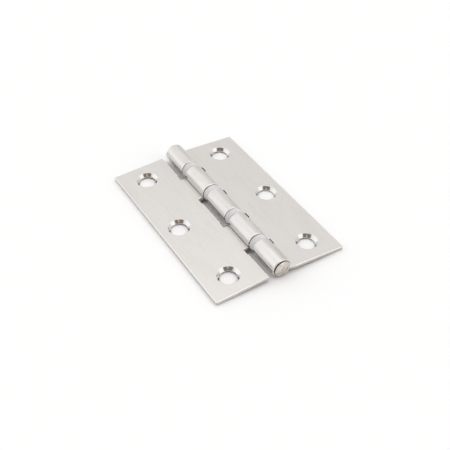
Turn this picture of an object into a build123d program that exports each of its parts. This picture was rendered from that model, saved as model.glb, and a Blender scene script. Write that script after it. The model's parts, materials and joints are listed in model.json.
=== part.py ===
from build123d import *
import math
import os

# Washered butt hinge, lying face up with its barrel and the outer edges of both leaves
# touching the table. Millimetres. Y runs along the pin, the right leaf goes towards +X, the
# left leaf towards -X, +Z is up. The origin is on the table, under the middle of the pin.

# Leaves
LEAF_LENGTH = 76.0
LEAF_WIDTH = 26.15          # pin axis to the outer edge
SHEET = 1.35                # sheet thickness
FACE_BELOW_AXIS = 0.93      # pin axis above the screwed face
RIGHT_NOTCH_EDGE = 4.90     # pin axis to the right leaf's edge beside the left one's knuckles
LEFT_NOTCH_EDGE = 5.25      # the same for the left leaf, which is punched a little deeper
SLOT_EDGE = 5.60            # pin axis to the end of the relief slot beside a washer
CORNER_RADIUS = 0.4
EDGE_BREAK = 0.15

# Screw holes
HOLE_RADIUS = 3.1
COUNTERSINK_RADIUS = 4.15   # 90 degree countersink, radius at the face
END_HOLE_FROM_AXIS = 16.3
END_HOLE_FROM_MIDDLE = 29.6
MIDDLE_HOLE_FROM_AXIS = 18.8

# Barrel
BARREL_RADIUS = 3.65
BARREL_LENGTH = 75.2
MIDDLE_KNUCKLE = 12.6       # length of the right leaf's middle knuckle
LEFT_KNUCKLE = 13.25        # length of each of the left leaf's two knuckles
WASHER_GAP = 2.75           # space between two knuckles
RIM_CHAMFER = 0.25
ROOT_FILLET = 1.2           # where the roll leaves the back of the sheet
SEAM = 0.12                 # slit between the tip of the roll and the face
ROOT_START = 2.0            # from the pin axis, where the roll's root begins to be full length
ROOT_END = 5.50             # from the pin axis, where the root lies well inside the sheet

# Washers
WASHER_RADIUS = 3.4
WASHER_PLAY = 0.1           # at each side of a washer
WASHER_CHAMFER = 0.12

# Pin
RUNNING_CLEARANCE = 0.05    # radial, pin to bore
HEAD_RADIUS = 3.15
HEAD_HEIGHT = 0.75
HEAD_ROUND = 0.5
HEAD_GAP = 0.25             # between a head and the end knuckle

BORE_RADIUS = BARREL_RADIUS - SHEET
PIN_RADIUS = BORE_RADIUS - RUNNING_CLEARANCE
BACK_BELOW_AXIS = FACE_BELOW_AXIS + SHEET
HALF_LENGTH = LEAF_LENGTH / 2
HALF_BARREL = BARREL_LENGTH / 2
OVERSHOOT = 1.0             # how far a cutting tool passes the surface it opens

# Middles of the washer gaps along Y, from the near end to the far end
INNER_GAP_MIDDLE = (MIDDLE_KNUCKLE + WASHER_GAP) / 2
OUTER_GAP_MIDDLE = INNER_GAP_MIDDLE + LEFT_KNUCKLE + WASHER_GAP
GAP_MIDDLES = [-OUTER_GAP_MIDDLE, -INNER_GAP_MIDDLE, INNER_GAP_MIDDLE, OUTER_GAP_MIDDLE]

# Angle that each leaf droops so that its outer edge and the barrel both touch the table
DROOP = math.degrees(
    math.asin(BARREL_RADIUS / math.hypot(LEAF_WIDTH, BACK_BELOW_AXIS))
    - math.atan2(BACK_BELOW_AXIS, LEAF_WIDTH)
)


def along_pin(shape, y):
    """Turn a shape made about Z to lie about Y, with its middle at y."""
    return Pos(0, y, 0) * Rot(90, 0, 0) * shape


def span_box(x_span, y_span, z_span):
    """A box given by its lowest and highest coordinate on each axis."""
    size = [high - low for low, high in (x_span, y_span, z_span)]
    middle = [(high + low) / 2 for low, high in (x_span, y_span, z_span)]
    return Pos(*middle) * Box(*size)


def knuckle_spans():
    """The Y span of each knuckle, from the near end to the far end of the barrel."""
    starts = [-HALF_BARREL] + [gap + WASHER_GAP / 2 for gap in GAP_MIDDLES]
    ends = [gap - WASHER_GAP / 2 for gap in GAP_MIDDLES] + [HALF_BARREL]
    return list(zip(starts, ends))


def root_section():
    """Section of the sheet where it runs into the roll, with the swaged bend at its back."""
    sheet = Pos(ROOT_END / 2, -FACE_BELOW_AXIS - SHEET / 2)
    section = Circle(BARREL_RADIUS) + sheet * Rectangle(ROOT_END, SHEET)
    inner_corner = math.sqrt(BARREL_RADIUS**2 - BACK_BELOW_AXIS**2)
    corner = section.vertices().sort_by_distance((inner_corner, -BACK_BELOW_AXIS, 0))[0]
    section = fillet(corner, ROOT_FILLET)
    width = ROOT_END + OVERSHOOT - ROOT_START
    height = BARREL_RADIUS + OVERSHOOT - FACE_BELOW_AXIS
    window = Pos(ROOT_START + width / 2, -FACE_BELOW_AXIS - height / 2) * Rectangle(width, height)
    return section & window


def knuckle(low, high):
    """One rolled knuckle with its root, from y = low to y = high, still without its bore."""
    length = high - low
    roll = Cylinder(BARREL_RADIUS, length)
    roll = chamfer(roll.edges().filter_by(GeomType.CIRCLE), RIM_CHAMFER)
    roll = along_pin(roll, (low + high) / 2)
    end_plane = Plane(origin=(0, high, 0), x_dir=(1, 0, 0), z_dir=(0, -1, 0))
    root = extrude(end_plane * root_section(), amount=length)
    return roll + root


def countersunk_hole(x, y):
    """The tool that cuts one screw hole from the face at z = 0 downwards."""
    depth = COUNTERSINK_RADIUS - HOLE_RADIUS
    cone_height = depth + OVERSHOOT
    cone = Pos(x, y, (OVERSHOOT - depth) / 2) * Cone(
        HOLE_RADIUS, COUNTERSINK_RADIUS + OVERSHOOT, cone_height
    )
    drill = Pos(x, y, 0) * Cylinder(HOLE_RADIUS, 2 * (SHEET + OVERSHOOT))
    return cone + drill


def plate(notch_edge):
    """The flat sheet, face at z = -FACE_BELOW_AXIS, with broken edges, slots and holes."""
    low_z, high_z = -BACK_BELOW_AXIS, -FACE_BELOW_AXIS
    blank = span_box((notch_edge, LEAF_WIDTH), (-HALF_LENGTH, HALF_LENGTH), (low_z, high_z))
    outer_corners = blank.edges().filter_by(Axis.Z).group_by(Axis.X)[-1]
    blank = fillet(outer_corners, CORNER_RADIUS)
    rims = blank.faces().sort_by(Axis.Z)[-1].edges() + blank.faces().sort_by(Axis.Z)[0].edges()
    free_rims = [rim for rim in rims if rim.center().X > notch_edge + EDGE_BREAK]
    blank = fillet(free_rims, EDGE_BREAK)
    for gap in GAP_MIDDLES:
        blank -= span_box(
            (notch_edge - OVERSHOOT, SLOT_EDGE),
            (gap - WASHER_GAP / 2, gap + WASHER_GAP / 2),
            (low_z - OVERSHOOT, high_z + OVERSHOOT),
        )
    for x, y in (
        (END_HOLE_FROM_AXIS, -END_HOLE_FROM_MIDDLE),
        (MIDDLE_HOLE_FROM_AXIS, 0),
        (END_HOLE_FROM_AXIS, END_HOLE_FROM_MIDDLE),
    ):
        blank -= Pos(0, 0, -FACE_BELOW_AXIS) * countersunk_hole(x, y)
    return blank


def leaf(spans, notch_edge):
    """A flat leaf towards +X of a pin axis at the origin, with a knuckle on each Y span."""
    body = plate(notch_edge)
    for low, high in spans:
        body += knuckle(low, high)
    body -= along_pin(Cylinder(BORE_RADIUS, LEAF_LENGTH + OVERSHOOT), 0)
    for low, high in spans:
        body -= span_box(
            (0, BARREL_RADIUS + OVERSHOOT),
            (low - WASHER_PLAY, high + WASHER_PLAY),
            (-FACE_BELOW_AXIS, -FACE_BELOW_AXIS + SEAM),
        )
    return body


def laid_down(shape, droop):
    """Turn a leaf about the pin axis by its droop and lift the axis to its height."""
    return Pos(0, 0, BARREL_RADIUS) * Rot(0, droop, 0) * shape


def pin():
    """The pin about the origin: a plain shank with a low rounded head peened at each end."""
    head_start = HALF_BARREL + HEAD_GAP
    body = along_pin(Cylinder(PIN_RADIUS, 2 * head_start), 0)
    for side in (-1, 1):
        head = Cylinder(HEAD_RADIUS, HEAD_HEIGHT)
        head = fillet(head.edges().filter_by(GeomType.CIRCLE).sort_by(Axis.Z)[-1], HEAD_ROUND)
        head = Pos(0, side * (head_start + HEAD_HEIGHT / 2), 0) * Rot(-90 * side, 0, 0) * head
        body += head
    return body


def washer(y):
    """One loose washer on the pin, with its middle at y."""
    ring = Cylinder(WASHER_RADIUS, WASHER_GAP - 2 * WASHER_PLAY)
    ring = chamfer(ring.edges().filter_by(GeomType.CIRCLE), WASHER_CHAMFER)
    ring -= Cylinder(BORE_RADIUS, WASHER_GAP + OVERSHOOT)
    return along_pin(ring, y)


def main():
    spans = knuckle_spans()
    right_leaf = laid_down(leaf(spans[0::2], RIGHT_NOTCH_EDGE), DROOP)
    left_leaf = leaf(spans[1::2], LEFT_NOTCH_EDGE)
    left_leaf = laid_down(mirror(left_leaf, about=Plane.YZ), -DROOP)
    parts = {
        "right_leaf": right_leaf,
        "left_leaf": left_leaf,
        "hinge_pin": Pos(0, 0, BARREL_RADIUS) * pin(),
    }
    for number, gap in enumerate(GAP_MIDDLES, start=1):
        parts[f"washer_{number}"] = Pos(0, 0, BARREL_RADIUS) * washer(gap)
    os.makedirs("parts", exist_ok=True)
    for name, shape in parts.items():
        export_step(shape, f"parts/{name}.step")


main()
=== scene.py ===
"""Washered butt hinge: rolled steel leaves, peened pin and loose washers, dressed for the studio.

Every length in the dataclasses is in millimetres. Y runs along the pin, the right leaf goes
towards +X, the left leaf towards -X, and +Z points out of the screwed faces.
"""

import json
import logging
import math
from dataclasses import dataclass, field
from enum import Enum

import bmesh
import bpy
import numpy as np
from mathutils import Matrix, Vector
from mathutils.geometry import delaunay_2d_cdt

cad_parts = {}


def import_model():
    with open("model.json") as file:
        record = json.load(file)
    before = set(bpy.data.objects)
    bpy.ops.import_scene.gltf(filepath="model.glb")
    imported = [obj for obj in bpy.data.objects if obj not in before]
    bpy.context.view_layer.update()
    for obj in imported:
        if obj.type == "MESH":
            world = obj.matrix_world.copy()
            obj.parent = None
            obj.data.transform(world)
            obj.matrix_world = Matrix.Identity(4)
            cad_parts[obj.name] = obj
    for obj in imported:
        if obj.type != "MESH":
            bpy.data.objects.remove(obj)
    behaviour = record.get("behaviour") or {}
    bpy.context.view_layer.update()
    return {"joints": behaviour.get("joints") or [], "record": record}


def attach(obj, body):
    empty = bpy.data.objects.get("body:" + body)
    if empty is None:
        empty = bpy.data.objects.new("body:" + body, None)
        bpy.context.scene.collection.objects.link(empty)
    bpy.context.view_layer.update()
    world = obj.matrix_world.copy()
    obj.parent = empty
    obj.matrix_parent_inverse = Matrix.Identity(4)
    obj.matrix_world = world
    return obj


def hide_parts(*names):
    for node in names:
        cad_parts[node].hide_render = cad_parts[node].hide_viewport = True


MM = 0.001
WELD_DISTANCE = 2e-7
SLIVER_LENGTH = 1e-8
MESHING_TOLERANCE = 1e-6
Triple = tuple[float, float, float]
Value = bpy.types.NodeSocket | float | tuple[float, ...]
log = logging.getLogger("hinge")


class Hand(Enum):
    """Which side of the pin a leaf lies on."""

    RIGHT = 1
    LEFT = -1


class Skin(Enum):
    """Where on a leaf a finish goes; the value is the finish's place in the leaf's list."""

    FACE = 0
    # Inner walls, which take the dark wall steel with painted shade.
    CUT = 1
    # Roundings of edges and holes, which take the light rim steel with a painted highlight.
    RIM = 2
    SEAT = 3
    # Outer walls, which take the lightened outer wall steel with painted light.
    EDGE = 4
    ROLL = 5


# ---------------------------------------------------------------- mesh building


@dataclass
class Shell:
    """A closed surface collected patch by patch, each patch with its own UVs and finish."""

    points: list[np.ndarray] = field(default_factory=list)
    faces: list[np.ndarray] = field(default_factory=list)
    uvs: list[np.ndarray] = field(default_factory=list)
    finishes: list[int] = field(default_factory=list)
    count: int = 0

    def add(
        self, points: np.ndarray, faces: np.ndarray, uv: np.ndarray, finish: int | np.ndarray
    ) -> None:
        """Add one patch.

        Args:
            points: Positions in millimetres, one row each.
            faces: Indices into points, three or four columns.
            uv: One UV row for each point.
            finish: Index of the finish that the patch takes, or one for each face.
        """
        self.points.append(points)
        self.faces.append(faces + self.count)
        self.uvs.append(uv[faces].reshape(-1, 2))
        self.finishes += np.broadcast_to(finish, len(faces)).tolist()
        self.count += len(points)

    def build(self, name: str, materials: list[bpy.types.Material]) -> bpy.types.Object:
        """Join the patches into one smooth mesh object with outward faces.

        Args:
            name: The object's name.
            materials: One material for each finish index used in add.

        Returns:
            The linked object, at the origin, in metres.
        """
        mesh = bpy.data.meshes.new(name)
        polygons = [face for patch in self.faces for face in patch.tolist()]
        mesh.from_pydata((np.concatenate(self.points) * MM).tolist(), [], polygons)
        layer = mesh.uv_layers.new(name="surface")
        layer.data.foreach_set("uv", np.concatenate(self.uvs).astype(np.float32).ravel())
        mesh.polygons.foreach_set("material_index", self.finishes)
        mesh.polygons.foreach_set("use_smooth", [True] * len(polygons))
        for material in materials:
            mesh.materials.append(material)
        work = bmesh.new()
        work.from_mesh(mesh)
        bmesh.ops.remove_doubles(work, verts=work.verts, dist=WELD_DISTANCE)
        bmesh.ops.dissolve_degenerate(work, edges=work.edges, dist=SLIVER_LENGTH)
        bmesh.ops.recalc_face_normals(work, faces=work.faces)
        work.to_mesh(mesh)
        work.free()
        piece = bpy.data.objects.new(name, mesh)
        bpy.context.scene.collection.objects.link(piece)
        return piece


def grid_faces(rows: int, columns: int, wrap: bool) -> np.ndarray:
    """Quads over a grid stored row by row.

    Args:
        rows: Number of rows of points.
        columns: Number of points in a row.
        wrap: Whether the last column joins the first.

    Returns:
        An array of quads, four indices in a row.
    """
    across = np.arange(columns if wrap else columns - 1)
    next_across = (across + 1) % columns
    starts = np.arange(rows - 1)[:, None] * columns
    corners = [starts + across, starts + next_across]
    corners += [starts + columns + next_across, starts + columns + across]
    return np.stack(corners, axis=-1).reshape(-1, 4)


def quarter_round(radius: np.ndarray, steps: int) -> tuple[np.ndarray, np.ndarray]:
    """Quarter of a circle that leaves a face and ends on the wall square to it.

    At angle a the inset from the wall is radius * (1 - sin a) and the depth below the face is
    radius * (1 - cos a).

    Args:
        radius: Rounding radius, one value for each point of the outline.
        steps: Number of segments.

    Returns:
        Inset and depth, each with one row for each step and one column for each point.
    """
    angle = np.linspace(0, math.pi / 2, steps + 1)[:, None]
    return radius * (1 - np.sin(angle)), radius * (1 - np.cos(angle))


def revolve(
    radii: np.ndarray, heights: np.ndarray, segments: int
) -> tuple[np.ndarray, np.ndarray, np.ndarray]:
    """Turn a profile about the Y axis: x = r cos a, z = r sin a, y = height.

    Args:
        radii: Profile radii.
        heights: Profile positions along Y.
        segments: Number of steps round the axis.

    Returns:
        Points, quads and UVs, where u is the angle and v the length along the profile.
    """
    angle = np.arange(segments) * (2 * math.pi / segments)
    steps = np.hypot(np.diff(radii), np.diff(heights))
    along = np.concatenate([[0.0], np.cumsum(steps)])
    x = radii[:, None] * np.cos(angle)
    z = radii[:, None] * np.sin(angle)
    y = np.repeat(heights[:, None], segments, axis=1)
    uv = np.stack(np.broadcast_arrays(angle[None, :], along[:, None]), axis=-1)
    points = np.stack([x, y, z], axis=-1)
    faces = grid_faces(len(radii), segments, wrap=True)
    return points.reshape(-1, 3), faces, uv.reshape(-1, 2)


def round_corners(
    corners: np.ndarray, radii: np.ndarray, steps: int
) -> tuple[np.ndarray, np.ndarray]:
    """Replace each square corner of a closed outline, drawn anticlockwise, by a quarter circle.

    With p and n the unit directions from a corner to its neighbours, the arc's centre is
    corner + radius * (p + n), and at angle a its point is centre - radius * (n cos a + p sin a).

    Args:
        corners: Corner positions, two columns.
        radii: One radius for each corner.
        steps: Segments in each arc.

    Returns:
        Points and outward unit normals, indexed by corner, step and coordinate.
    """
    to_previous = np.roll(corners, 1, axis=0) - corners
    to_next = np.roll(corners, -1, axis=0) - corners
    to_previous /= np.linalg.norm(to_previous, axis=1, keepdims=True)
    to_next /= np.linalg.norm(to_next, axis=1, keepdims=True)
    turn = to_next[:, 0] * to_previous[:, 1] - to_next[:, 1] * to_previous[:, 0]
    angle = np.linspace(0, math.pi / 2, steps + 1)[None, :, None]
    outward = -(to_next[:, None] * np.cos(angle) + to_previous[:, None] * np.sin(angle))
    centres = corners + radii[:, None] * (to_previous + to_next)
    points = centres[:, None] + radii[:, None, None] * outward
    return points, outward * np.sign(turn)[:, None, None]


def inside(points: np.ndarray, loops: list[np.ndarray]) -> np.ndarray:
    """Even-odd rule: a point is inside where its ray along +s crosses an odd number of edges.

    Args:
        points: Points to test, two columns.
        loops: Closed outlines, two columns each.

    Returns:
        One truth value for each point.
    """
    result = np.zeros(len(points), dtype=bool)
    for loop in loops:
        start, end = loop, np.roll(loop, -1, axis=0)
        rise = end[:, 1] - start[:, 1]
        crossing = (start[:, 1] > points[:, 1:2]) != (end[:, 1] > points[:, 1:2])
        share = (points[:, 1:2] - start[:, 1]) / np.where(rise == 0, 1.0, rise)
        at = start[:, 0] + share * (end[:, 0] - start[:, 0])
        result ^= (crossing & (points[:, :1] < at)).sum(axis=1) % 2 == 1
    return result


# ---------------------------------------------------------------- finishes


class NodeSheet:
    """Short calls for laying out the nodes of a material or of the world."""

    def __init__(self, owner: bpy.types.Material | bpy.types.World, shader: str, output: str) -> None:
        """Start with one shader node joined to one output node.

        Args:
            owner: The material or the world.
            shader: Blender's name of the shader node's type.
            output: Blender's name of the output node's type.
        """
        owner.use_nodes = True
        self.owner = owner
        self.tree = owner.node_tree
        self.tree.nodes.clear()
        self.shader = self.add(shader, {})
        self.add(output, {"Surface": self.shader.outputs[0]})

    @classmethod
    def surface(cls, name: str) -> "NodeSheet":
        """Start a material with a Principled shader."""
        material = bpy.data.materials.new(name)
        return cls(material, "ShaderNodeBsdfPrincipled", "ShaderNodeOutputMaterial")

    def fill(self, socket: bpy.types.NodeSocket, value: Value) -> None:
        """Link an input to a socket, or set it to a constant.

        Args:
            socket: The input.
            value: The socket or the constant that it takes.
        """
        if isinstance(value, bpy.types.NodeSocket):
            self.tree.links.new(value, socket)
        else:
            socket.default_value = value

    def add(self, kind: str, inputs: dict[str | int, Value]) -> bpy.types.Node:
        """Add a node and fill its inputs.

        Args:
            kind: Blender's name of the node's type.
            inputs: What each input takes, by its name or its place.

        Returns:
            The node.
        """
        node = self.tree.nodes.new(kind)
        for key, value in inputs.items():
            self.fill(node.inputs[key], value)
        return node

    def coordinates(self, kind: str, scale: Triple) -> bpy.types.NodeSocket:
        """Texture coordinates stretched by a scale.

        Args:
            kind: "UV" or "Object".
            scale: Factor for each axis.

        Returns:
            The vector socket.
        """
        source = self.add("ShaderNodeTexCoord", {}).outputs[kind]
        return self.add("ShaderNodeMapping", {"Vector": source, "Scale": scale}).outputs["Vector"]

    def noise(self, vector: bpy.types.NodeSocket, detail: float) -> bpy.types.NodeSocket:
        """Fractal noise between 0 and 1 over a vector."""
        inputs = {"Vector": vector, "Scale": 1.0, "Detail": detail}
        return self.add("ShaderNodeTexNoise", inputs).outputs["Fac"]

    def spread(
        self,
        value: bpy.types.NodeSocket,
        source: tuple[float, float],
        target: tuple[float, float] = (0.0, 1.0),
        smooth: bool = False,
    ) -> bpy.types.NodeSocket:
        """Map a value from one range to another, held at both ends.

        Args:
            value: The value to map.
            source: The two ends of the incoming range.
            target: What they become.
            smooth: Whether the value eases in and out of both ends.

        Returns:
            The mapped value's socket.
        """
        inputs = dict(zip(("From Min", "From Max", "To Min", "To Max"), source + target))
        node = self.add("ShaderNodeMapRange", {"Value": value, **inputs})
        node.interpolation_type = "SMOOTHSTEP" if smooth else "LINEAR"
        return node.outputs["Result"]

    def math(self, kind: str, first: Value, second: Value) -> bpy.types.NodeSocket:
        """Combine two values with one Math operation.

        Args:
            kind: Blender's name of the operation.
            first: The first value.
            second: The second value.

        Returns:
            The result's socket.
        """
        node = self.add("ShaderNodeMath", {0: first, 1: second})
        node.operation = kind
        return node.outputs["Value"]

    def weigh(
        self, first: bpy.types.NodeSocket, second: bpy.types.NodeSocket, share: float
    ) -> bpy.types.NodeSocket:
        """Weighted sum of two values: first * share + second * (1 - share).

        Args:
            first: The value that the share goes with.
            second: The other value.
            share: Weight of the first value.

        Returns:
            The sum's socket.
        """
        first_part = self.math("MULTIPLY", first, share)
        return self.math("ADD", first_part, self.math("MULTIPLY", second, 1 - share))

    def mix(
        self, share: bpy.types.NodeSocket, first: Triple | bpy.types.NodeSocket, second: Triple
    ) -> bpy.types.NodeSocket:
        """Blend two colours by a share.

        Args:
            share: 0 gives the first colour, 1 the second.
            first: A colour or a colour socket.
            second: A colour.

        Returns:
            The blended colour's socket.
        """
        node = self.add("ShaderNodeMix", {"Factor": share})
        node.data_type = "RGBA"
        base, cover = (socket for socket in node.inputs if socket.type == "RGBA")
        self.fill(base, first if isinstance(first, bpy.types.NodeSocket) else (*first, 1.0))
        self.fill(cover, (*second, 1.0))
        return next(socket for socket in node.outputs if socket.type == "RGBA")

    def ramp(
        self, value: bpy.types.NodeSocket, stops: tuple[tuple[float, Triple], ...]
    ) -> bpy.types.NodeSocket:
        """Colour a value between 0 and 1 by a list of stops.

        Args:
            value: The value.
            stops: Position and colour of each stop, from 0 up.

        Returns:
            The colour's socket.
        """
        node = self.add("ShaderNodeValToRGB", {"Fac": value})
        elements = node.color_ramp.elements
        while len(elements) < len(stops):
            elements.new(1.0)
        for element, (position, colour) in zip(elements, stops):
            element.position = position
            element.color = (*colour, 1.0)
        return node.outputs["Color"]

    def bump(self, height: bpy.types.NodeSocket, strength: float, depth: float) -> None:
        """Roughen the shader's normal by a height, depth in millimetres."""
        inputs = {"Height": height, "Strength": strength, "Distance": depth * MM}
        self.fill(self.shader.inputs["Normal"], self.add("ShaderNodeBump", inputs).outputs["Normal"])


# Most of a noise lies in these spans, which are stretched over a finish's whole range.
TONE_SPAN = (0.36, 0.64)
GLOSS_SPAN = (0.35, 0.65)
STEEL_FINE_SHARE = 0.45
STEEL_GRAIN_SHARE = 0.5
NYLON_LINE_SHARE = 0.35
STAIN_FADE = 0.12
DETAIL = 3.0
STREAK_DETAIL = 2.0


@dataclass(frozen=True)
class SteelFinish:
    """Bare steel with streaks of grain, broad tonal clouds and faint brown handling marks.

    fine, streak and cloud say how often each noise repeats along each axis: in a metre for
    "Object" coordinates, and for "UV" ones in a millimetre or, round a hole, in a radian.
    """

    name: str
    light: Triple
    dark: Triple
    stain: Triple
    roughness: tuple[float, float]
    coordinates: str
    fine: Triple
    streak: Triple
    cloud: Triple
    stain_start: float
    bump_strength: float
    bump_depth: float
    stain_share: float = 0.35

    def material(self) -> bpy.types.Material:
        """Lay out the nodes.

        Returns:
            The finished material.
        """
        sheet = NodeSheet.surface(self.name)
        shader = sheet.shader.inputs
        fine = sheet.noise(sheet.coordinates(self.coordinates, self.fine), DETAIL)
        streak = sheet.noise(sheet.coordinates(self.coordinates, self.streak), STREAK_DETAIL)
        cloud = sheet.noise(sheet.coordinates(self.coordinates, self.cloud), DETAIL)
        grain = sheet.weigh(fine, streak, STEEL_FINE_SHARE)
        tone = sheet.weigh(grain, cloud, STEEL_GRAIN_SHARE)
        metal = sheet.mix(sheet.spread(tone, TONE_SPAN), self.dark, self.light)
        stain_span = (self.stain_start, self.stain_start + STAIN_FADE)
        marks = sheet.spread(cloud, stain_span, (0.0, self.stain_share))
        sheet.fill(shader["Base Color"], sheet.mix(marks, metal, self.stain))
        sheet.fill(shader["Roughness"], sheet.spread(grain, GLOSS_SPAN, self.roughness))
        shader["Metallic"].default_value = 1.0
        sheet.bump(grain, self.bump_strength, self.bump_depth)
        return sheet.owner


BRUSHED = SteelFinish(
    name="brushed_along_pin",
    light=(0.655, 0.632, 0.604),
    dark=(0.612, 0.586, 0.557),
    stain=(0.52, 0.43, 0.36),
    roughness=(0.26, 0.34),
    coordinates="UV",
    fine=(14.0, 0.30, 0.0),
    streak=(3.0, 0.05, 0.0),
    cloud=(0.16, 0.05, 0.0),
    stain_start=0.60,
    bump_strength=0.10,
    bump_depth=0.003,
    stain_share=0.16,
)
# Bare steel of the outer walls, made lighter than the face steel: partly real steel tone and partly
# painted light that lifts the shade on the side walls.
LIT_OUTER_WALL_STEEL = SteelFinish(
    name="ground_edge",
    light=(0.72, 0.69, 0.67),
    dark=(0.62, 0.588, 0.568),
    stain=(0.50, 0.42, 0.35),
    roughness=(0.30, 0.42),
    coordinates="Object",
    fine=(900.0, 900.0, 6000.0),
    streak=(220.0, 220.0, 1800.0),
    cloud=(120.0, 120.0, 120.0),
    stain_start=0.66,
    bump_strength=0.3,
    bump_depth=0.004,
)
LINISHED_ROLL = SteelFinish(
    name="linished_roll",
    light=(0.69, 0.67, 0.645),
    dark=(0.565, 0.545, 0.522),
    stain=(0.52, 0.44, 0.36),
    roughness=(0.20, 0.29),
    coordinates="UV",
    fine=(7.0, 0.10, 0.0),
    streak=(1.5, 0.03, 0.0),
    cloud=(0.45, 0.07, 0.0),
    stain_start=0.62,
    bump_strength=0.10,
    bump_depth=0.004,
)
# Steel of the inner walls, made very dark: painted shade in the slots, on the notch walls, on the
# knuckles' ends and on the rolled tip.
SHADED_WALL_STEEL = SteelFinish(
    name="punched_wall",
    light=(0.42, 0.39, 0.38),
    dark=(0.30, 0.277, 0.268),
    stain=(0.30, 0.24, 0.20),
    roughness=(0.34, 0.48),
    coordinates="Object",
    fine=(4000.0, 4000.0, 900.0),
    streak=(1400.0, 1400.0, 250.0),
    cloud=(160.0, 160.0, 160.0),
    stain_start=0.64,
    bump_strength=0.5,
    bump_depth=0.01,
)
# Steel of the rounded rims of the sheet's edges and holes, lighter than the face: a painted highlight
# along the rims.
RIM_HIGHLIGHT_STEEL = SteelFinish(
    name="burnished_rim",
    light=(0.80, 0.78, 0.755),
    dark=(0.70, 0.68, 0.655),
    stain=(0.55, 0.46, 0.38),
    roughness=(0.16, 0.26),
    coordinates="Object",
    fine=(3000.0, 700.0, 3000.0),
    streak=(900.0, 200.0, 900.0),
    cloud=(120.0, 120.0, 120.0),
    stain_start=0.68,
    bump_strength=0.2,
    bump_depth=0.002,
)
TURNED_SEAT = SteelFinish(
    name="turned_countersink",
    light=(0.73, 0.715, 0.70),
    dark=(0.63, 0.612, 0.595),
    stain=(0.56, 0.45, 0.34),
    roughness=(0.10, 0.18),
    coordinates="UV",
    fine=(0.6, 26.0, 0.0),
    streak=(0.5, 7.0, 0.0),
    cloud=(0.5, 0.6, 0.0),
    stain_start=0.62,
    bump_strength=0.3,
    bump_depth=0.003,
)
PEENED_STEEL = SteelFinish(
    name="peened_pin",
    light=(0.84, 0.81, 0.77),
    dark=(0.50, 0.44, 0.385),
    stain=(0.40, 0.28, 0.19),
    roughness=(0.14, 0.28),
    coordinates="Object",
    fine=(1100.0, 1100.0, 1100.0),
    streak=(520.0, 520.0, 520.0),
    cloud=(380.0, 380.0, 380.0),
    stain_start=0.54,
    bump_strength=0.9,
    bump_depth=0.10,
    stain_share=0.6,
)


@dataclass(frozen=True)
class NylonFinish:
    """Matte pale nylon with faint turning lines round the washer and cloudy translucence."""

    name: str
    light: Triple
    dark: Triple
    roughness: tuple[float, float]
    lines: Triple
    cloud: Triple
    bump_strength: float
    bump_depth: float

    def material(self) -> bpy.types.Material:
        """Lay out the nodes.

        Returns:
            The finished material.
        """
        sheet = NodeSheet.surface(self.name)
        shader = sheet.shader.inputs
        lines = sheet.noise(sheet.coordinates("Object", self.lines), DETAIL)
        cloud = sheet.noise(sheet.coordinates("Object", self.cloud), DETAIL)
        tone = sheet.weigh(lines, cloud, NYLON_LINE_SHARE)
        colour = sheet.mix(sheet.spread(tone, TONE_SPAN), self.dark, self.light)
        sheet.fill(shader["Base Color"], colour)
        sheet.fill(shader["Roughness"], sheet.spread(lines, GLOSS_SPAN, self.roughness))
        sheet.bump(lines, self.bump_strength, self.bump_depth)
        return sheet.owner


WASHER_NYLON = NylonFinish(
    name="turned_grey_nylon",
    light=(0.672, 0.667, 0.666),
    dark=(0.585, 0.58, 0.579),
    roughness=(0.42, 0.55),
    lines=(160.0, 5000.0, 160.0),
    cloud=(420.0, 420.0, 420.0),
    bump_strength=0.3,
    bump_depth=0.006,
)


# ---------------------------------------------------------------- leaves


@dataclass(frozen=True)
class Hole:
    """One countersunk screw hole, placed on the flat sheet."""

    from_axis: float
    along_pin: float
    radius: float


@dataclass
class Outline:
    """The edge of the flat blank: points, outward normals and the pairs across each tongue."""

    points: np.ndarray
    normals: np.ndarray
    rungs: np.ndarray


@dataclass
class Barrel:
    """The row of knuckles and washer gaps that both leaves share."""

    radius: float = 3.65
    length: float = 75.2
    middle_knuckle: float = 12.6
    left_knuckle: float = 13.25
    washer_gap: float = 2.75

    def gap_middles(self) -> list[float]:
        """Find the middles of the washer gaps.

        Returns:
            Their places along Y, from the near end.
        """
        inner = (self.middle_knuckle + self.washer_gap) / 2
        outer = inner + self.left_knuckle + self.washer_gap
        return [-outer, -inner, inner, outer]

    def gap_spans(self) -> list[tuple[float, float]]:
        """Y span of each washer gap, from the near end."""
        half = self.washer_gap / 2
        return [(middle - half, middle + half) for middle in self.gap_middles()]

    def knuckle_spans(self, hand: Hand) -> list[tuple[float, float]]:
        """Y span of each knuckle of one leaf.

        Args:
            hand: The leaf; the right one has both end knuckles.

        Returns:
            Low and high Y of each knuckle, from the near end.
        """
        edges = [-self.length / 2, *sum(self.gap_spans(), ()), self.length / 2]
        spans = list(zip(edges[0::2], edges[1::2]))
        return spans[0::2] if hand is Hand.RIGHT else spans[1::2]


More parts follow.
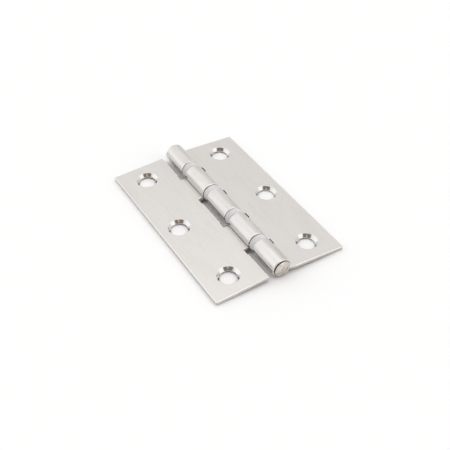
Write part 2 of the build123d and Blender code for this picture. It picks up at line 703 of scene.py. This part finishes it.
@dataclass
class Leaf:
    """A leaf cut as a flat blank with tongues, which are then rolled into knuckles.

    On the blank, s is the distance from the pin axis towards the outer edge, counted along the
    sheet through its bends, y runs along the pin, and w is the height above the sheet's middle.
    The sheet is cut back to notch_edge beside the other leaf's knuckles and to slot_edge beside the
    washers. seam is the gap that the rolled tip leaves above the face, and support is how far past
    each rounding an extra ring of points keeps the face flat.
    """

    hand: Hand
    barrel: Barrel
    holes: list[Hole]
    axis_height: float
    droop: float
    length: float = 76.0
    width: float = 26.15
    sheet: float = 1.35
    face_below_axis: float = 0.93
    right_notch_edge: float = 4.9
    left_notch_edge: float = 5.25
    slot_edge: float = 5.6
    root_fillet: float = 1.2
    seam: float = 0.12
    countersink_radius: float = 4.15
    outer_corner: float = 0.4
    punched_corner: float = 0.14
    tongue_corner: float = 0.4
    outer_round: float = 0.24
    punched_round: float = 0.11
    knuckle_round: float = 0.24
    tip_round: float = 0.36
    seat_round: float = 0.07
    support: float = 0.025
    column_step: float = 0.3
    shoulder: float = 3.6
    least_neck: float = 0.1
    rounding_blend: float = 1.0
    round_steps: int = 4
    hole_segments: int = 96
    out_of_round: float = 0.018
    waves: tuple[int, int] = (5, 8)
    second_wave: float = 0.7
    wave_shift: float = 1.7
    knuckle_pitch: float = 15.7
    dent_fade: float = 0.6

    def __post_init__(self) -> None:
        """Work out the bends of the roll from the barrel and the sheet, and pick the notch."""
        right = self.hand is Hand.RIGHT
        self.notch_edge = self.right_notch_edge if right else self.left_notch_edge
        back = self.face_below_axis + self.sheet
        reach = self.barrel.radius + self.root_fillet
        self.bend_start = math.sqrt(reach**2 - (back + self.root_fillet) ** 2)
        self.root_turn = math.atan2(self.bend_start, back + self.root_fillet)
        self.root_radius = self.root_fillet + self.sheet / 2
        self.roll_radius = self.barrel.radius - self.sheet / 2
        self.roll_start = self.bend_start - self.root_radius * self.root_turn
        tip_drop = math.asin((self.face_below_axis - self.seam) / self.barrel.radius)
        roll_turn = 1.5 * math.pi + self.root_turn + tip_drop
        self.tip = self.roll_start - self.roll_radius * roll_turn

    def rolled(self, s: np.ndarray, y: np.ndarray, w: np.ndarray) -> np.ndarray:
        """Bend the flat blank into the leaf.

        Outside bend_start the sheet is flat. Then it follows an arc of root_radius down to the
        barrel, and from roll_start an arc of roll_radius about the pin axis. In an arc, the
        distance past its start over its radius is the angle turned, and w moves the point
        towards or away from the arc's centre.

        The roll's outside is also slightly dented. A wave of the angle, the sum of two cosines
        that is shifted from knuckle to knuckle, is scaled so that it never stands out, fades to
        nothing at the sheet's inside and grows over the first dent_fade radians of the roll.

        Args:
            s: Distance along the sheet.
            y: Distance along the pin.
            w: Height above the sheet's middle.

        Returns:
            Positions about the pin axis, three columns.
        """
        root_angle = np.clip((self.bend_start - s) / self.root_radius, 0, self.root_turn)
        roll_angle = np.clip((self.roll_start - s) / self.roll_radius, 0, None)
        middle = -self.face_below_axis - self.sheet / 2
        root_x = self.bend_start - (self.root_radius + w) * np.sin(root_angle)
        root_z = middle + (self.root_radius + w) * np.cos(root_angle) - self.root_radius
        heading = self.root_turn - math.pi / 2 - roll_angle
        phase = self.wave_shift * np.round(y / self.knuckle_pitch)
        broad = np.cos(self.waves[0] * heading + phase)
        narrow = np.cos(self.waves[1] * heading - 2 * phase)
        wave = (broad + self.second_wave * narrow) / (1 + self.second_wave)
        outside = 0.5 - w / self.sheet
        grown = np.clip(roll_angle / self.dent_fade, 0, 1)
        radius = self.roll_radius - w + self.out_of_round * (wave - 1) * outside * grown
        flat, rolled = s >= self.bend_start, s < self.roll_start
        x = np.select([flat, rolled], [s, radius * np.cos(heading)], root_x)
        z = np.select([flat, rolled], [middle + w, radius * np.sin(heading)], root_z)
        return np.stack([x, y, z], axis=-1)

    def placed(self, points: np.ndarray) -> np.ndarray:
        """Turn a leaf's points by its droop about the pin, mirror the left one, and lift them.

        Args:
            points: Positions about the pin axis, with the sheet lying flat.

        Returns:
            Positions in the hinge's own frame.
        """
        cosine, sine = math.cos(self.droop), math.sin(self.droop)
        x = points[..., 0] * cosine + points[..., 2] * sine
        z = points[..., 2] * cosine - points[..., 0] * sine + self.axis_height
        return np.stack([x * self.hand.value, points[..., 1], z], axis=-1)

    def corners(self) -> tuple[np.ndarray, np.ndarray]:
        """Corners of the blank, anticlockwise from the near outer one, with their radii.

        Returns:
            Corner positions and one radius for each.
        """
        half = self.length / 2
        short = half - self.barrel.length / 2
        cuts = [(low, high, self.slot_edge) for low, high in self.barrel.gap_spans()]
        cuts += [(low, high, self.tip) for low, high in self.barrel.knuckle_spans(self.hand)]
        stretches = []
        reached = -half
        for low, high, edge in [*sorted(cuts), (half, half, self.notch_edge)]:
            if low > reached + 2 * short:
                stretches.append((reached, low, self.notch_edge))
                reached = low
            if high > low:
                high = half if high > half - 2 * short else high
                stretches.append((reached, high, edge))
            reached = high
        path = [(self.width, -half, self.outer_corner), (self.width, half, self.outer_corner)]
        for low, high, edge in reversed(stretches):
            radius = self.tongue_corner if edge == self.tip else self.punched_corner
            path += [(edge, high, radius), (edge, low, radius)]
        table = np.array(path)
        return table[:, :2], table[:, 2]

    def outline(self) -> Outline:
        """The blank's edge with rounded corners and a column of points for every step of the roll.

        Towards the knuckles at both ends of the leaf, the side draws in from the leaf's length to
        the barrel's along the shoulder, by the smooth step t * t * (3 - 2 * t).

        Returns:
            Points, normals and, for each tongue, the index pairs of points across from each other.
        """
        corners, radii = self.corners()
        arcs, arc_normals = round_corners(corners, radii, self.round_steps)
        half = self.length / 2
        last = self.tip + self.tongue_corner
        steps = math.ceil((self.bend_start - last) / self.column_step)
        columns = np.linspace(self.bend_start, last, steps + 1)[:-1]
        neck_from, neck_to = self.bend_start + self.shoulder, self.bend_start + self.least_neck
        neck = np.arange(neck_from, neck_to, -self.column_step)
        points, normals = [], []
        for index, corner in enumerate(corners):
            points.append(arcs[index])
            normals.append(arc_normals[index])
            following = corners[(index + 1) % len(corners)]
            if min(corner[0], following[0]) == self.tip != max(corner[0], following[0]):
                inward = following[0] < corner[0]
                side = np.concatenate([neck, columns]) if abs(corner[1]) == half else columns
                side = side if inward else side[::-1]
                points.append(np.stack([side, np.full(len(side), corner[1])], axis=-1))
                facing = (0.0, 1.0 if inward else -1.0)
                normals.append(np.tile(facing, (len(side), 1)))
        edge = np.concatenate(points)
        ends = np.abs(edge[:, 1]) > half - 2 * self.tongue_corner
        along_neck = np.clip((neck_from - edge[:, 0]) / self.shoulder, 0, 1)
        draw_in = (half - self.barrel.length / 2) * along_neck**2 * (3 - 2 * along_neck)
        edge[:, 1] -= np.where(ends, np.sign(edge[:, 1]) * draw_in, 0)
        rungs = []
        for low, high in self.barrel.knuckle_spans(self.hand):
            middle = (low + high) / 2
            reach = (high - low) / 2 + self.support
            straight = (edge[:, 0] <= self.bend_start) & (edge[:, 0] > last - self.support / 2)
            tongue = straight & (np.abs(edge[:, 1] - middle) < reach)
            low_side = np.flatnonzero(tongue & (edge[:, 1] < middle))
            high_side = np.flatnonzero(tongue & (edge[:, 1] > middle))
            low_side = low_side[np.argsort(-edge[low_side, 0])]
            high_side = high_side[np.argsort(-edge[high_side, 0])]
            rungs.append(np.stack([low_side, high_side], axis=-1))
        return Outline(edge, np.concatenate(normals), np.concatenate(rungs))

    def edge_rounds(self, outline: Outline) -> tuple[np.ndarray, np.ndarray]:
        """Rounding of the blank's edge at its face and at its back.

        The sheet's outer edge is broken more than its punched notches, and the ends of the
        knuckles are rounded most on the outside of the roll, where they are linished.

        Args:
            outline: The blank's edge.

        Returns:
            Rounding radii at the face and at the back, one for each point.
        """
        s = outline.points[:, 0]
        outermost = s > self.slot_edge + self.outer_corner
        plate = np.where(outermost, self.outer_round, self.punched_round)
        in_roll = np.clip((self.bend_start + self.rounding_blend - s) / self.rounding_blend, 0, 1)
        at_tip = outline.normals[:, 0] ** 2
        knuckle = self.knuckle_round + (self.tip_round - self.knuckle_round) * at_tip
        return plate + (self.punched_round - plate) * in_roll, plate + (knuckle - plate) * in_roll

    def add_cap(
        self, shell: Shell, loops: list[np.ndarray], rungs: np.ndarray, w: float
    ) -> None:
        """Fill the sheet's face or back between its edge and its holes.

        Args:
            shell: The surface to add to.
            loops: The edge first, then the holes, on the flat blank.
            rungs: Index pairs of the edge that stay joined across each tongue.
            w: Height of the surface above the sheet's middle.
        """
        starts = np.cumsum([0] + [len(loop) for loop in loops])
        links = [rungs]
        for start, loop in zip(starts, loops):
            ring = np.arange(len(loop))
            links.append(np.stack([ring, (ring + 1) % len(loop)], axis=-1) + start)
        flat = [Vector(point) for point in np.concatenate(loops).tolist()]
        edges = np.concatenate(links).tolist()
        found = delaunay_2d_cdt(flat, edges, [], 0, MESHING_TOLERANCE)
        points = np.array([tuple(point) for point in found[0]])
        triangles = np.array(found[2])
        triangles = triangles[inside(points[triangles].mean(axis=1), loops)]
        height = np.full(len(points), w)
        rolled = self.placed(self.rolled(points[:, 0], points[:, 1], height))
        in_roll = points[triangles][..., 0].max(axis=1) <= self.bend_start + self.support
        finish = np.where(in_roll, Skin.ROLL.value, Skin.FACE.value)
        shell.add(rolled, triangles, points, finish)

    def add_band(
        self,
        shell: Shell,
        path: np.ndarray,
        heights: np.ndarray,
        uv: np.ndarray,
        finish: int | np.ndarray,
    ) -> None:
        """Add the strip between neighbouring copies of a closed path on the blank.

        Args:
            shell: The surface to add to.
            path: Positions on the blank, indexed by row, point and coordinate.
            heights: Height w of each row, or of each point of each row.
            uv: UVs, indexed as path.
            finish: Index of the finish, or one for each face.
        """
        w = np.broadcast_to(heights, path.shape[:2])
        points = self.placed(self.rolled(path[..., 0], path[..., 1], w)).reshape(-1, 3)
        faces = grid_faces(path.shape[0], path.shape[1], wrap=True)
        shell.add(points, faces, uv.reshape(-1, 2), finish)

    def add_edge(self, shell: Shell, outline: Outline) -> tuple[np.ndarray, np.ndarray]:
        """Add the blank's edge wall with both of its roundings.

        Args:
            shell: The surface to add to.
            outline: The blank's edge.

        Returns:
            The loops where the wall's roundings end on the face and on the back.
        """
        face_round, back_round = self.edge_rounds(outline)
        half = self.sheet / 2
        face_inset, face_depth = quarter_round(face_round, self.round_steps)
        back_inset, back_depth = quarter_round(back_round, self.round_steps)
        face_inset = np.vstack([face_round + self.support, face_inset])
        face_height = half - np.vstack([np.zeros_like(face_round), face_depth])
        back_inset = np.vstack([back_round + self.support, back_inset])[::-1]
        back_height = np.vstack([np.zeros_like(back_round), back_depth])[::-1] - half
        wall_inset = np.vstack([face_inset[-1], back_inset[0]])
        wall_height = np.vstack([face_height[-1], back_height[0]])
        s = outline.points[:, 0]
        near, far = np.minimum(s, np.roll(s, -1)), np.maximum(s, np.roll(s, -1))
        slot = (near > self.slot_edge - self.punched_corner) & (far < self.slot_edge + self.support)
        outer = (far > self.bend_start + self.support) & ~slot
        bands = (
            (face_inset, face_height, (Skin.RIM, Skin.RIM)),
            (wall_inset, wall_height, (Skin.CUT, Skin.EDGE)),
            (back_inset, back_height, (Skin.RIM, Skin.RIM)),
        )
        for inset, height, (inner_skin, outer_skin) in bands:
            path = outline.points - inset[..., None] * outline.normals
            finish = np.where(outer, outer_skin.value, inner_skin.value)
            self.add_band(shell, path, height, path, np.tile(finish, len(path) - 1))
        face_loop = outline.points - face_inset[0][:, None] * outline.normals
        back_loop = outline.points - back_inset[-1][:, None] * outline.normals
        return face_loop, back_loop

    def hole_profile(self, hole: Hole) -> list[tuple[np.ndarray, np.ndarray, int]]:
        """Radius and depth of a countersunk hole's wall, in strips from the face to the back.

        A small arc leads from the face onto the 45 degree cone, a second one from the cone onto
        the short straight land, and a quarter round from the land onto the back.

        Args:
            hole: The hole.

        Returns:
            Radii, depths below the face and finish index of each strip.
        """
        curl, depth = self.seat_round, self.countersink_radius - hole.radius
        reach = curl * math.tan(math.pi / 8)
        top = np.linspace(math.pi / 2, 0.75 * math.pi, self.round_steps + 1)
        low = np.linspace(0.75 * math.pi, math.pi, self.round_steps + 1)
        rim_radius = self.countersink_radius + reach + curl * np.cos(top)
        rim_depth = curl - curl * np.sin(top)
        land_radius = hole.radius + curl + curl * np.cos(low)
        land_depth = depth + reach - curl * np.sin(low)
        back_inset, back_depth = quarter_round(np.array([curl]), self.round_steps)
        back_radius = hole.radius + back_inset[::-1, 0]
        back_level = self.sheet - back_depth[::-1, 0]
        outermost = [rim_radius[0] + self.support]
        rim = (np.concatenate([outermost, rim_radius]), np.concatenate([[0.0], rim_depth]))
        seat = (
            np.concatenate([rim_radius[-1:], land_radius, back_radius[:1]]),
            np.concatenate([rim_depth[-1:], land_depth, back_level[:1]]),
        )
        ending = [back_radius[-1] + self.support]
        back = (np.concatenate([back_radius, ending]), np.concatenate([back_level, [self.sheet]]))
        return [(*rim, Skin.RIM.value), (*seat, Skin.SEAT.value), (*back, Skin.RIM.value)]

    def add_hole(self, shell: Shell, hole: Hole) -> tuple[np.ndarray, np.ndarray]:
        """Add the wall of one screw hole.

        Args:
            shell: The surface to add to.
            hole: The hole.

        Returns:
            The loops where the wall ends on the face and on the back.
        """
        angle = np.arange(self.hole_segments) * (2 * math.pi / self.hole_segments)
        around = np.stack([np.cos(angle), np.sin(angle)], axis=-1)
        centre = np.array([hole.from_axis, hole.along_pin])
        strips = self.hole_profile(hole)
        for radii, depths, finish in strips:
            path = centre + radii[:, None, None] * around
            turned = np.stack(np.broadcast_arrays(angle[None, :], radii[:, None]), axis=-1)
            heights = (self.sheet / 2 - depths)[:, None]
            self.add_band(shell, path, heights, turned, finish)
        return centre + strips[0][0][0] * around, centre + strips[-1][0][-1] * around

    def make(self) -> bpy.types.Object:
        """Build and dress the leaf in place of its CAD node.

        Returns:
            The finished leaf.
        """
        name = f"{self.hand.name.lower()}_leaf"
        shell = Shell()
        outline = self.outline()
        loops = [self.add_edge(shell, outline)]
        loops += [self.add_hole(shell, hole) for hole in self.holes]
        for side, w in enumerate((self.sheet / 2, -self.sheet / 2)):
            self.add_cap(shell, [pair[side] for pair in loops], outline.rungs, w)
        finishes = (BRUSHED, SHADED_WALL_STEEL, RIM_HIGHLIGHT_STEEL, TURNED_SEAT, LIT_OUTER_WALL_STEEL, LINISHED_ROLL)
        piece = shell.build(f"{name}_rolled", [finish.material() for finish in finishes])
        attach(piece, name)
        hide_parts(name)
        return piece


# ---------------------------------------------------------------- pin and washers


@dataclass
class Pin:
    """The fixed pin, with both ends hammered over the end knuckles.

    Each head flares out of the bore, is widest at its rim, and was struck a little off centre, so
    that it spreads and reaches closer to the knuckle on one side. A blow is its direction, its
    slope and its reach; the glancing one is given, and the others are scattered evenly.
    """

    barrel: Barrel
    axis_height: float
    shank_radius: float = 2.25
    head_radius: float = 3.08
    head_height: float = 1.0
    rim_height: float = 0.44
    flare: tuple[tuple[float, float], ...] = ((3.02, 0.36), (2.7, 0.15), (2.25, 0.06))
    spread: tuple[float, float] = (0.10, -0.06)
    dip: float = 0.20
    struck_from: float = math.radians(60)
    rings: int = 44
    segments: int = 144
    crown_powers: tuple[float, float] = (4, 0.75)
    pole_angle: float = 1e-5
    blows: int = 8
    blow_scatter: float = 0.3
    blow_slopes: tuple[float, float] = (0.15, 0.5)
    blow_reaches: tuple[float, float] = (0.5, 1.6)
    blow_level: float = 0.95
    sharpness: float = 28.0
    least_crown: float = 0.01
    glancing_blow: Triple = (math.radians(90), 1.0, 2.25)
    seed: int = 11

    def head_profile(self) -> tuple[np.ndarray, np.ndarray]:
        """Radius and height of a head before it is hammered, from the pole to the shank.

        Over the radius r, the crown is rim + (height - rim) * (1 - (r / R) ** p) ** q, where p and
        q are the crown's powers.

        Returns:
            Radii and heights above the end knuckle.
        """
        inner, outer = self.crown_powers
        share = np.sin(np.linspace(self.pole_angle, math.pi / 2, self.rings))
        crown = (self.head_height - self.rim_height) * (1 - share**inner).clip(0) ** outer
        flare = np.array(self.flare)
        radii = np.concatenate([share * self.head_radius, flare[:, 0]])
        return radii, np.concatenate([crown + self.rim_height, flare[:, 1]])

    def hammered(self, across: np.ndarray, height: np.ndarray, seed: int) -> np.ndarray:
        """Flatten a dome by hammer blows: the smooth minimum of the dome and tilted planes.

        A blow that faces the direction d leaves a plane that falls by its slope along d and passes
        through blow_level of the head's height at its reach. With sharpness k, the smooth minimum
        of the heights h is -log(sum of exp(-k * h)) / k.

        Args:
            across: Positions over the head's face, two columns.
            height: Height of each point of the dome.
            seed: Seed of the blows' directions.

        Returns:
            The new heights, between the rim's and the old ones.
        """
        rng = np.random.default_rng(seed)
        scatter = rng.uniform(-self.blow_scatter, self.blow_scatter, self.blows)
        turn = 2 * math.pi * (np.arange(self.blows) + scatter) / self.blows
        slope = rng.uniform(*self.blow_slopes, self.blows)
        reach = rng.uniform(*self.blow_reaches, self.blows)
        glancing = [[value] for value in self.glancing_blow]
        turn, slope, reach = np.hstack([np.stack([turn, slope, reach]), glancing])
        level = self.head_height * self.blow_level + slope * reach
        toward = np.stack([np.cos(turn), np.sin(turn)])
        planes = level - slope * (across @ toward)
        stack = np.concatenate([height[:, None], planes], axis=1)
        lowest = stack.min(axis=1, keepdims=True)
        weights = np.exp(-self.sharpness * (stack - lowest)).sum(axis=1)
        soft = lowest[:, 0] - np.log(weights) / self.sharpness
        return np.clip(soft, self.rim_height, height)

    def make(self) -> bpy.types.Object:
        """Build and dress the pin in place of its CAD node.

        Outside the shank, and most at its rim, the head moves sideways by spread and closer to the
        knuckle by dip * ((1 + cos(angle - struck_from)) / 2) ** 2.

        Returns:
            The finished pin.
        """
        radii, heights = self.head_profile()
        start = self.barrel.length / 2
        profile_r = np.concatenate([radii, radii[::-1]])
        profile_y = np.concatenate([-start - heights, start + heights[::-1]])
        points, faces, uv = revolve(profile_r, profile_y, self.segments)
        outside = np.hypot(points[:, 0], points[:, 2])
        side = np.sign(points[:, 1])
        height = side * points[:, 1] - start
        for end, seed in ((-1, self.seed), (1, self.seed + 1)):
            crown = (side == end) & (height > self.rim_height + self.least_crown)
            height[crown] = self.hammered(points[crown][:, [0, 2]], height[crown], seed)
        angle = np.arctan2(points[:, 2], points[:, 0])
        struck = ((1 + np.cos(angle - self.struck_from)) / 2) ** 2
        head = np.clip((outside - self.shank_radius) / (self.head_radius - self.shank_radius), 0, 1)
        points[:, [0, 2]] += head[:, None] * np.array(self.spread)
        points[:, 1] = side * (start + height - self.dip * struck * head)
        points[:, 2] += self.axis_height
        shell = Shell()
        shell.add(points, faces, uv, 0)
        piece = shell.build("hinge_pin_peened", [PEENED_STEEL.material()])
        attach(piece, "right_leaf")
        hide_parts("hinge_pin")
        return piece


@dataclass
class Washer:
    """One thick loose washer, turned, with softly broken edges.

    Each washer rests nearer to the right leaf's knuckle than to the left leaf's. That knuckle is on
    the +Y side of the even washers and on the -Y side of the odd ones.
    """

    number: int
    middle: float
    axis_height: float
    rests_to: float = 0.08
    outer_radius: float = 3.4
    inner_radius: float = 2.3
    thickness: float = 2.55
    outer_round: float = 0.16
    inner_round: float = 0.08
    segments: int = 112
    round_steps: int = 4

    def make(self) -> bpy.types.Object:
        """Build and dress the washer in place of its CAD node.

        Returns:
            The finished washer.
        """
        half = self.thickness / 2
        inner, outer = (self.inner_radius, self.inner_round), (self.outer_radius, self.outer_round)
        radii, rounds = np.array([inner, outer, outer, inner]).T
        corners = np.stack([radii, half * np.array([-1, -1, 1, 1])], axis=-1)
        section = round_corners(corners, rounds, self.round_steps)[0].reshape(-1, 2)
        section = np.vstack([section, section[:1]])
        shift = self.rests_to if self.number % 2 == 0 else -self.rests_to
        along = section[:, 1] + self.middle + shift
        points, faces, uv = revolve(section[:, 0], along, self.segments)
        points[:, 2] += self.axis_height
        shell = Shell()
        shell.add(points, faces, uv, 0)
        node = f"washer_{self.number}"
        piece = shell.build(f"{node}_turned", [WASHER_NYLON.material()])
        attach(piece, node)
        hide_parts(node)
        return piece


# ---------------------------------------------------------------- studio


@dataclass(frozen=True)
class Patch:
    """A round patch of the room, which fades between two angles from its direction, in degrees."""

    toward: Triple
    inner: float
    outer: float
    colour: Triple


SKY = (
    (0.0, (0.84, 0.835, 0.83)),
    (0.35, (1.00, 1.00, 1.00)),
    (0.58, (1.05, 1.05, 1.05)),
    (0.66, (1.08, 1.08, 1.08)),
    (0.72, (1.19, 1.19, 1.19)),
    (0.84, (1.42, 1.42, 1.43)),
    (1.0, (1.74, 1.74, 1.75)),
)
ROOM = (
    Patch(toward=(-0.72, 0.62, 0.33), inner=10.0, outer=44.0, colour=(1.36, 1.37, 1.38)),
    Patch(toward=(0.10, -0.98, 0.10), inner=10.0, outer=45.0, colour=(1.30, 1.29, 1.28)),
    Patch(toward=(0.50, -0.66, 0.56), inner=10.0, outer=28.0, colour=(1.45, 1.44, 1.42)),
    Patch(toward=(-0.42, -0.63, 0.60), inner=33.0, outer=42.0, colour=(0.26, 0.23, 0.21)),
    Patch(toward=(-0.34, -0.59, 0.73), inner=2.0, outer=8.0, colour=(0.88, 0.72, 0.50)),
)


@dataclass
class Studio:
    """Pale floor, a soft bright room and the camera, whose angles are in degrees."""

    target_height: float
    azimuth: float = -31.8837
    elevation: float = 42.3496
    roll: float = 0.5887
    distance: float = 296.9926
    shift_right: float = 0.4729
    shift_up: float = -7.1114
    lens: float = 64.776
    clip: tuple[float, float] = (0.01, 20.0)
    floor_reach: float = 3000.0
    floor_grey: float = 0.93
    floor_roughness: float = 0.9
    floor_specular: float = 0.1

    def camera(self) -> None:
        """Aim the camera at the middle of the pin, then move it within its own plane."""
        turn, rise, lean = map(math.radians, (self.azimuth, self.elevation, self.roll))
        back = Vector(
            (math.sin(turn) * math.cos(rise), -math.cos(turn) * math.cos(rise), math.sin(rise))
        )
        level = Vector((math.cos(turn), math.sin(turn), 0.0))
        above = back.cross(level)
        right = level * math.cos(lean) + above * math.sin(lean)
        up = above * math.cos(lean) - level * math.sin(lean)
        place = back * self.distance + right * self.shift_right + up * self.shift_up
        place.z += self.target_height
        data = bpy.data.cameras.new("camera")
        data.lens = self.lens
        data.clip_start, data.clip_end = self.clip
        camera = bpy.data.objects.new("camera", data)
        matrix = Matrix((right, up, back)).transposed().to_4x4()
        matrix.translation = place * MM
        camera.matrix_world = matrix
        bpy.context.scene.collection.objects.link(camera)
        bpy.context.scene.camera = camera

    def floor(self) -> None:
        """Lay a wide pale floor under the hinge."""
        mesh = bpy.data.meshes.new("floor")
        reach = self.floor_reach * MM
        square = [(-reach, -reach, 0), (reach, -reach, 0), (reach, reach, 0), (-reach, reach, 0)]
        mesh.from_pydata(square, [], [(0, 1, 2, 3)])
        sheet = NodeSheet.surface("pale_floor")
        shader = sheet.shader.inputs
        shader["Base Color"].default_value = (*[self.floor_grey] * 3, 1.0)
        shader["Roughness"].default_value = self.floor_roughness
        shader["Specular IOR Level"].default_value = self.floor_specular
        mesh.materials.append(sheet.owner)
        floor = bpy.data.objects.new("floor", mesh)
        bpy.context.scene.collection.objects.link(floor)

    def sky(self) -> None:
        """Surround the hinge with soft light.

        The sky brightens with height. Over it lie round patches: a broad softbox behind to the
        left, two bright ones low and high to the front right, and the dark camera end of the room
        with a small warm spot in it.
        """
        world = bpy.data.worlds.new("studio")
        sheet = NodeSheet(world, "ShaderNodeBackground", "ShaderNodeOutputWorld")
        direction = sheet.add("ShaderNodeTexCoord", {}).outputs["Generated"]
        height = sheet.add("ShaderNodeSeparateXYZ", {"Vector": direction}).outputs["Z"]
        colour = sheet.ramp(height, SKY)
        for patch in ROOM:
            middle = tuple(Vector(patch.toward).normalized())
            dot = sheet.add("ShaderNodeVectorMath", {0: direction, 1: middle})
            dot.operation = "DOT_PRODUCT"
            fade = tuple(math.cos(math.radians(angle)) for angle in (patch.outer, patch.inner))
            share = sheet.spread(dot.outputs["Value"], fade, smooth=True)
            colour = sheet.mix(share, colour, patch.colour)
        sheet.fill(sheet.shader.inputs["Color"], colour)
        bpy.context.scene.world = world

    def make(self) -> None:
        """Set up the whole studio."""
        self.camera()
        self.floor()
        self.sky()
        bpy.context.scene.view_settings.view_transform = "Standard"


# ---------------------------------------------------------------- assembly


def leaf_facts(record: dict, hand: Hand, axis_height: float) -> tuple[float, list[Hole]]:
    """Read a leaf's droop and screw holes from the record's mounts.

    Args:
        record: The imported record.
        hand: The leaf.
        axis_height: Height of the pin axis in millimetres.

    Returns:
        The droop in radians and the holes in the leaf's own flat frame.
    """
    prefix = hand.name.lower()
    bores = [
        mount
        for mount in record["mounts"]
        if mount["kind"] == "bore" and mount["name"].startswith(prefix)
    ]
    normal = bores[0]["axis"]
    droop = math.atan2(abs(normal[0]), normal[2])
    holes = []
    for bore in bores:
        x, y, z = (value / MM for value in bore["pos_m"])
        out = abs(x) * math.cos(droop) - (z - axis_height) * math.sin(droop)
        holes.append(Hole(out, y, bore["dims"]["r_mm"]))
    return droop, holes


def main() -> None:
    """Load the frame, set the studio and build every piece in order."""
    logging.basicConfig(level=logging.INFO, format="%(message)s")
    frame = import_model()
    swing = next(joint for joint in frame["joints"] if joint["name"] == "leaf_swing")
    axis_height = swing["pos_m"][2] / MM
    Studio(target_height=axis_height).make()
    barrel = Barrel()
    builders: list[Leaf | Pin | Washer] = []
    for hand in Hand:
        droop, holes = leaf_facts(frame["record"], hand, axis_height)
        builders.append(Leaf(hand, barrel, holes, axis_height, droop))
    builders.append(Pin(barrel, axis_height))
    for number, middle in enumerate(barrel.gap_middles(), start=1):
        builders.append(Washer(number, middle, axis_height))
    for builder in builders:
        piece = builder.make()
        log.info("%s: %d faces", piece.name, len(piece.data.polygons))


if __name__ == "__main__":
    main()
